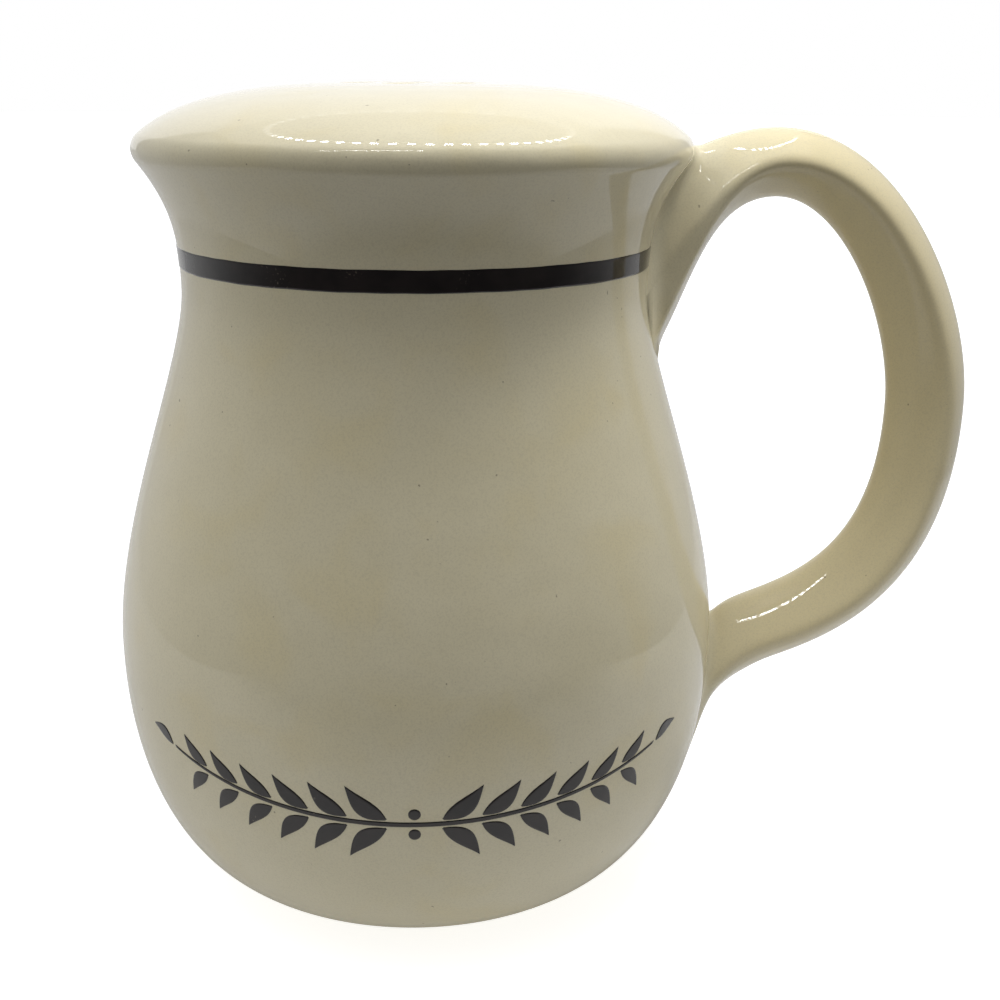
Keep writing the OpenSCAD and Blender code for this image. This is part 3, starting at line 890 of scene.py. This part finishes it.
def make_stopper():
    """The stopper: a flange, a hollow skirt with two sealing ribs, and a rounded grip bar underneath."""
    ribs = []
    for k in (1, 2):
        turns = np.linspace(-90, 90, 13)
        ribs.append(arc((SKIRT_R, BASE_LOW_Z + k * RIB_PITCH), RIB_H, turns))
    flange = softened(
        [(0, FLANGE_LOW_Z), (FLANGE_R, FLANGE_LOW_Z), (FLANGE_R, FLANGE_TOP_Z), (SKIRT_R, FLANGE_TOP_Z)],
        [FLANGE_ROUND, FLANGE_ROUND],
    )
    skirt = softened(
        [
            (SKIRT_R, PLUG_TOP_Z - SKIRT_LEAD),
            (SKIRT_R - RIB_H, PLUG_TOP_Z),
            (SKIRT_IN_R, PLUG_TOP_Z),
            (SKIRT_IN_R, PLUG_FLOOR_Z),
            (0, PLUG_FLOOR_Z),
        ],
        [0.0004, 0.0005, 0.001],
    )
    line = evened(np.concatenate([flange, *ribs, skirt]), STOPPER_STEP)
    sheets = Sheets()
    sheets.add(revolved(line, np.arange(0, 360, 2.5)))
    turn = np.linspace(0, 2 * math.pi, 97)[:-1]
    bend = np.radians(np.linspace(0, 90, 7))
    half = GRIP_W / 2 - GRIP_ROUND
    low = GRIP_LOW_Z + GRIP_ROUND
    top = FLANGE_LOW_Z + GRIP_SINK
    rows = [(0.0, GRIP_LOW_Z)]
    rows += [(half + GRIP_ROUND * math.sin(t), low - GRIP_ROUND * math.cos(t)) for t in bend]
    rows += [(GRIP_W / 2, z) for z in np.linspace(low, top, 6)[1:]]
    rows += [(0.0, top)]
    grid = []
    for radius, z in rows:
        shift = np.sign(np.cos(turn)) * (GRIP_L - GRIP_W) / 2
        x = shift + radius * np.cos(turn)
        y = radius * np.sin(turn)
        grid.append(np.stack([x, y, np.full_like(x, z)], axis=-1))
    sheets.add(np.array(grid))
    return sheets.make("soft_stopper", sharp=40)


class Socket:
    """A node's output or a plain number, with the arithmetic written as Python."""

    def __init__(self, tree, value):
        self.tree = tree
        self.value = value

    def math(self, operation, *others):
        values = [self.value] + [o.value if isinstance(o, Socket) else o for o in others]
        node = self.tree.nodes.new("ShaderNodeMath")
        node.operation = operation
        for socket, value in zip(node.inputs, values):
            fill(self.tree, socket, value)
        return Socket(self.tree, node.outputs[0])

    def __add__(self, other):
        return self.math("ADD", other)

    def __radd__(self, other):
        return self.math("ADD", other)

    def __sub__(self, other):
        return self.math("SUBTRACT", other)

    def __rsub__(self, other):
        return Socket(self.tree, other).math("SUBTRACT", self)

    def __mul__(self, other):
        return self.math("MULTIPLY", other)

    def __rmul__(self, other):
        return self.math("MULTIPLY", other)

    def __pow__(self, other):
        return self.math("POWER", other)

    def clipped(self):
        """The value held between 0 and 1."""
        node = self.tree.nodes.new("ShaderNodeClamp")
        fill(self.tree, node.inputs[0], self.value)
        return Socket(self.tree, node.outputs[0])

    def between(self, low, high):
        """Zero below low, one above high, smooth between."""
        node = self.tree.nodes.new("ShaderNodeMapRange")
        node.interpolation_type = "SMOOTHSTEP"
        fill(self.tree, node.inputs["Value"], self.value)
        node.inputs["From Min"].default_value = low
        node.inputs["From Max"].default_value = high
        return Socket(self.tree, node.outputs["Result"])


def fill(tree, socket, value):
    """Links an output to a socket, or writes a number or colour into it."""
    if isinstance(value, Socket):
        value = value.value
    if isinstance(value, bpy.types.NodeSocket):
        tree.links.new(value, socket)
    else:
        socket.default_value = value


class Finish:
    """A material and the one way in which its nodes are made."""

    def __init__(self, name):
        self.material = bpy.data.materials.new(name)
        self.material.use_nodes = True
        self.tree = self.material.node_tree
        self.tree.nodes.clear()

    def node(self, kind, settings=None, output=0, **values):
        """A node of the kind, its settings first, then its sockets' values or links; gives one output."""
        node = self.tree.nodes.new(kind)
        for key, value in (settings or {}).items():
            setattr(node, key, value)
        for key, value in values.items():
            fill(self.tree, node.inputs[key.replace("_", " ")], value)
        return Socket(self.tree, node.outputs[output])

    def place(self):
        """Object coordinates, in metres."""
        return self.node("ShaderNodeTexCoord", output="Object")

    def parts(self, vector):
        """The three numbers of a vector."""
        node = self.tree.nodes.new("ShaderNodeSeparateXYZ")
        fill(self.tree, node.inputs[0], vector)
        return [Socket(self.tree, o) for o in node.outputs]

    def noise(self, vector, scale, detail=2.0, roughness=0.5, distortion=0.0):
        """Noise between 0 and 1 with features about 1 / scale metres across."""
        return self.node(
            "ShaderNodeTexNoise",
            Vector=vector,
            Scale=scale,
            Detail=detail,
            Roughness=roughness,
            Distortion=distortion,
        )

    def mix(self, factor, a, b):
        """Colour a where the factor is 0 and b where it is 1."""
        node = self.tree.nodes.new("ShaderNodeMix")
        node.data_type = "RGBA"
        fill(self.tree, node.inputs[0], factor)
        fill(self.tree, node.inputs[6], a)
        fill(self.tree, node.inputs[7], b)
        return Socket(self.tree, node.outputs[2])

    def bump(self, height, distance, **values):
        """Normal from a height between 0 and 1 that stands for a distance in metres."""
        return self.node("ShaderNodeBump", Height=height, Distance=distance, **values)

    def ripple(self, place):
        """Normal of the fired surface's broad, shallow waves."""
        return self.bump(self.noise(place, 130, detail=2, roughness=0.4), RIPPLE_H)

    def shown(self, shader):
        """The material, with the shader on its output."""
        output = self.tree.nodes.new("ShaderNodeOutputMaterial")
        fill(self.tree, output.inputs["Surface"], shader)
        return self.material

    def surface(self, **values):
        """The material of a solid piece: one shader with these values or links."""
        return self.shown(self.node("ShaderNodeBsdfPrincipled", **values))


def cream_glaze():
    """Cream glaze over buff clay: cloudy tone, fine speckle, a few iron specks, bare clay under the foot."""
    finish = Finish("cream_glaze")
    place = finish.place()
    x, _, z = finish.parts(place)

    clouds = finish.noise(place, 32, detail=3, roughness=0.55)
    warm = finish.noise(place, 75, detail=2, roughness=0.5, distortion=0.4)
    colour = finish.mix(clouds.between(0.3, 0.7), CREAM_DEEP, CREAM_PALE)
    colour = finish.mix(warm.between(0.45, 0.75) * 0.55, colour, CREAM_WARM)
    colour = finish.mix(x.between(0.046, 0.062), colour, HANDLE_WARM)
    grain = finish.noise(place, 3200, detail=2, roughness=0.7)
    colour = finish.mix(grain.between(0.42, 0.7) * 0.2, colour, GRAIN_BROWN)
    speck = finish.noise(place, 950, detail=1, roughness=0.3)
    colour = finish.mix(speck.between(0.812, 0.832) * 0.6, colour, IRON_BROWN)

    # The foot ring's flat is wiped clean before firing
    bare = 1 - z.between(0.0004, 0.0008)
    clay = finish.noise(place, 900, detail=4, roughness=0.7)
    clay_colour = finish.mix(clay.between(0.3, 0.7), CLAY_DEEP, CLAY_PALE)
    colour = finish.mix(bare, colour, clay_colour)

    peel = finish.noise(place, 900, detail=2, roughness=0.5)
    normal = finish.bump(peel, GLAZE_PEEL_H, Normal=finish.ripple(place))
    normal = finish.bump(clay, CLAY_GRAIN_H, Strength=bare, Normal=normal)
    return finish.surface(
        Base_Color=colour,
        Roughness=0.5 + bare * 0.35,
        Specular_IOR_Level=0.1,
        Coat_Weight=1 - bare,
        Coat_Roughness=0.035,
        Coat_IOR=1.52,
        Normal=normal,
    )


def dark_print():
    """Fired-on colour: near-black brown, glossy, with fine breaks where the cream shows through."""
    finish = Finish("dark_print")
    place = finish.place()
    tone = finish.noise(place, 240, detail=2, roughness=0.5)
    colour = finish.mix(tone.between(0.3, 0.7), PRINT_DEEP, PRINT_PALE)
    breaks = finish.noise(place, 2300, detail=1, roughness=0.4)
    patches = finish.noise(place, 90, detail=1, roughness=0.4)
    worn = breaks.between(0.66, 0.72) * patches.between(0.6, 0.7)
    colour = finish.mix(worn * 0.8, colour, PRINT_WORN)
    peel = finish.noise(place, 1100, detail=2, roughness=0.5)
    return finish.surface(
        Base_Color=colour,
        Roughness=0.45 - worn * 0.05,
        Specular_IOR_Level=0.1,
        Coat_Weight=1.0,
        Coat_Roughness=0.05,
        Coat_IOR=1.5,
        Normal=finish.bump(peel, PRINT_PEEL_H, Normal=finish.ripple(place)),
    )


def soft_vinyl():
    """Soft moulded vinyl: off-white, slightly cloudy and dull, with the mould's fine grain."""
    finish = Finish("soft_vinyl")
    place = finish.place()
    clouds = finish.noise(place, 60, detail=2, roughness=0.5)
    colour = finish.mix(clouds.between(0.3, 0.7), VINYL_DEEP, VINYL_PALE)
    grain = finish.noise(place, 2600, detail=3, roughness=0.6)
    return finish.surface(
        Base_Color=colour,
        Roughness=0.46 + clouds * 0.08,
        Normal=finish.bump(grain, VINYL_GRAIN_H),
    )


def ray_kinds(tree):
    """One for the camera's rays, and one for reflections; both are zero for light that bounces softly."""
    light = tree.nodes.new("ShaderNodeLightPath")
    through = Socket(tree, light.outputs["Is Transmission Ray"])
    camera = Socket(tree, light.outputs["Is Camera Ray"]).math("MAXIMUM", through)
    return camera, Socket(tree, light.outputs["Is Glossy Ray"])


def pale_floor():
    """A pale floor that looks white and keeps the shadow. Its soft light is a painted bounce light, a fixed
    glow, and that glow and the floor seen in reflections darken towards the tent's front as painted shade for
    the pot's shadow and the unlit floor in front.
    """
    finish = Finish("pale_floor")
    camera, mirrored = ray_kinds(finish.tree)
    _, y, _ = finish.parts(finish.place())
    # Painted shade: the floor's soft light and its look in reflections drop towards the tent's front,
    # standing for the pot's shadow and the unlit floor in front
    inside = FLOOR_SHADE_SHARE + (1 - FLOOR_SHADE_SHARE) * y.between(*FLOOR_SHADE_FADE)
    diffuse = finish.node("ShaderNodeBsdfDiffuse", Color=(camera + mirrored * inside) * FLOOR_TONE)
    # Painted bounce light: soft light sees a fixed glow from the floor instead of its reflected lamps
    soft = (1 - (camera + mirrored).clipped()) * inside * FLOOR_BOUNCE
    glow = camera * FLOOR_GLOW + mirrored * inside * FLOOR_SHEEN + soft
    glow = finish.node("ShaderNodeEmission", Color=(1, 1, 1, 1), Strength=glow)
    both = finish.tree.nodes.new("ShaderNodeAddShader")
    fill(finish.tree, both.inputs[0], diffuse)
    fill(finish.tree, both.inputs[1], glow)
    return finish.shown(both.outputs[0])


def glowing(name, front, back, start=0.0, end=1.0):
    """A white glow that changes from its front strength to its back strength between two places along Y."""
    finish = Finish(name)
    _, y, _ = finish.parts(finish.place())
    strength = front + (back - front) * y.between(start, end)
    return finish.shown(finish.node("ShaderNodeEmission", Strength=strength))


def dress(piece, material, slot, body, *nodes):
    """Gives a piece its finish and body, and lets it stand for its CAD nodes."""
    piece.data.materials.append(material)
    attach(piece, body)
    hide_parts(*nodes)


def add_camera():
    """The photograph's view: close to the pot, a little above it and slightly left of its middle."""
    heading = math.radians(CAMERA_HEADING)
    pitch = math.radians(CAMERA_PITCH)
    roll = math.radians(CAMERA_ROLL)
    level = np.array([math.sin(heading), math.cos(heading), 0])
    forward = level * math.cos(pitch) - [0, 0, math.sin(pitch)]
    right = np.array([math.cos(heading), -math.sin(heading), 0])
    up = np.cross(right, forward)
    turned_right = right * math.cos(roll) + up * math.sin(roll)
    turned_up = up * math.cos(roll) - right * math.sin(roll)
    camera = bpy.data.cameras.new("camera")
    camera.sensor_width = 36
    camera.lens = CAMERA_LENS
    camera.clip_start = 0.01
    camera.clip_end = 20
    thing = bpy.data.objects.new("camera", camera)
    bpy.context.scene.collection.objects.link(thing)
    place = np.eye(4)
    place[:3, 0], place[:3, 1], place[:3, 2] = turned_right, turned_up, -forward
    place[:3, 3] = CAMERA_PLACE
    thing.matrix_world = Matrix(place.tolist())
    bpy.context.scene.camera = thing


def add_floor():
    """A plain pale floor far wider than the view."""
    reach = np.array([0, 0.2, 0.6, 1.5, 4])[:, None]
    turn = np.linspace(0, 2 * math.pi, 65)[:-1][None, :]
    sheets = Sheets()
    sheets.add(np.stack([reach * np.cos(turn), reach * np.sin(turn), 0 * reach * turn], axis=-1))
    floor = sheets.make("floor")
    floor.data.materials.append(pale_floor())


def add_world():
    """White to the eye; its soft light is strongest overhead, with more from the upper left and the right."""
    world = bpy.data.worlds.new("studio")
    bpy.context.scene.world = world
    world.use_nodes = True
    tree = world.node_tree
    tree.nodes.clear()
    way = tree.nodes.new("ShaderNodeTexCoord").outputs["Generated"]
    parts = tree.nodes.new("ShaderNodeSeparateXYZ")
    tree.links.new(way, parts.inputs[0])
    x, _, z = (Socket(tree, output) for output in parts.outputs)
    above = z.math("MAXIMUM", 0.0)
    left_high = (z * 0.77 - x * 0.64).math("MAXIMUM", 0.0)
    soft = LIGHT_ABOVE * above + LIGHT_OVERHEAD * above**4.0
    soft = soft + LIGHT_RIGHT * x.math("MAXIMUM", 0.0) + LIGHT_LEFT_HIGH * left_high**4.0
    camera, mirrored = ray_kinds(tree)
    seen = camera.math("MAXIMUM", mirrored)
    background = tree.nodes.new("ShaderNodeBackground")
    background.inputs["Color"].default_value = (1, 1, 1, 1)
    fill(tree, background.inputs["Strength"], seen + (1 - seen) * soft)
    output = tree.nodes.new("ShaderNodeOutputWorld")
    tree.links.new(background.outputs[0], output.inputs["Surface"])


def add_panel(name, corner, along, up, *glow):
    """A flat sheet of a light tent, from a corner along two sides, that only reflections see."""
    share = np.linspace(0, 1, 3)
    grid = np.array(corner) + share[:, None, None] * np.array(up) + share[None, :, None] * np.array(along)
    sheets = Sheets()
    sheets.add(grid, closed=False)
    panel = sheets.make(name)
    panel.data.materials.append(glowing(name, *glow))
    panel.visible_camera = False
    panel.visible_diffuse = False
    panel.visible_transmission = False
    panel.visible_shadow = False


def add_tent():
    """A light tent round the object, seen only in reflections: a near-black front sheet standing in for the
    unlit open front as painted shade, pale side sheets and top, and white behind.
    """
    wide = 2 * TENT_SIDE
    deep = TENT_BACK_Y - FRONT_Y
    along = (wide, 0, 0)
    back = (0, deep, 0)
    up = (0, 0, TENT_H)
    # The front sheet is near black, a painted shade that reflections see in place of the unlit room in front
    add_panel("tent_front", (-TENT_SIDE, FRONT_Y, 0), along, up, *TENT_FRONT_GLOW)
    add_panel("tent_left", (-TENT_SIDE, FRONT_Y, 0), back, up, *TENT_SIDE_GLOW)
    add_panel("tent_right", (TENT_SIDE, FRONT_Y, 0), back, up, *TENT_SIDE_GLOW)
    add_panel("tent_top", (-TENT_SIDE, FRONT_Y, TENT_H), along, back, *TENT_TOP_GLOW)


def add_lamps(name, middles, size, *glow):
    """Square lamps that face down: a piece of the stage, not seen by the camera."""
    half = size / 2
    corners = half * np.array([(-1, -1, 0), (-1, 1, 0), (1, 1, 0), (1, -1, 0)])
    points = (np.asarray(middles, float)[:, None] + corners[None]).reshape(-1, 3)
    faces = np.arange(len(points)).reshape(-1, 4)
    mesh = bpy.data.meshes.new(name)
    mesh.from_pydata(points.tolist(), [], faces.tolist())
    lamps = bpy.data.objects.new(name, mesh)
    bpy.context.scene.collection.objects.link(lamps)
    mesh.materials.append(glowing(name, *glow))
    lamps.visible_camera = False
    return lamps


def add_lamp_ring():
    """A ring of lamps under the tent's top that only reflections see, weaker towards the back."""
    turn = np.arange(RING_COUNT) * 2 * math.pi / RING_COUNT
    circle = RING_R * np.stack([np.cos(turn), np.sin(turn), 0 * turn], axis=-1)
    middles = circle + [RING_X, RING_Y, RING_Z]
    weak = RING_BACK_SHARE * RING_STRENGTH
    ring = add_lamps("ring_light", middles, RING_LAMP, RING_STRENGTH, weak, *RING_FADE)
    ring.visible_diffuse = False


def add_lamp_row():
    """A row of lamps near the tent's front that only reflections see."""
    along = np.linspace(*ROW_PLACES)
    middles = np.stack([along, 0 * along + ROW_Y, 0 * along + ROW_Z], axis=-1)
    row = add_lamps("row_light", middles, RING_LAMP, ROW_STRENGTH, ROW_STRENGTH)
    row.visible_diffuse = False


def add_key_lamp():
    """One lamp above the handle that only soft light sees."""
    lamp = add_lamps("key_light", [KEY_PLACE], KEY_SIZE, KEY_STRENGTH, KEY_STRENGTH)
    lamp.visible_glossy = False


add_camera()
glaze = cream_glaze()
print_colour = dark_print()
dress(make_body(), glaze, "cream_glaze", "pot", "body_shell")
dress(make_top(), glaze, "cream_glaze", "pot", "perforated_top")
dress(make_handle(), glaze, "cream_glaze", "pot", "handle")
dress(make_band(), print_colour, "dark_print", "pot", "neck_band")
dress(make_sprig(), print_colour, "dark_print", "pot", "belly_sprig")
dress(make_stopper(), soft_vinyl(), "soft_vinyl", "stopper", "filling_stopper")
add_floor()
add_world()
add_tent()
add_lamp_ring()
add_lamp_row()
add_key_lamp()
bpy.context.scene.view_settings.view_transform = "Standard"
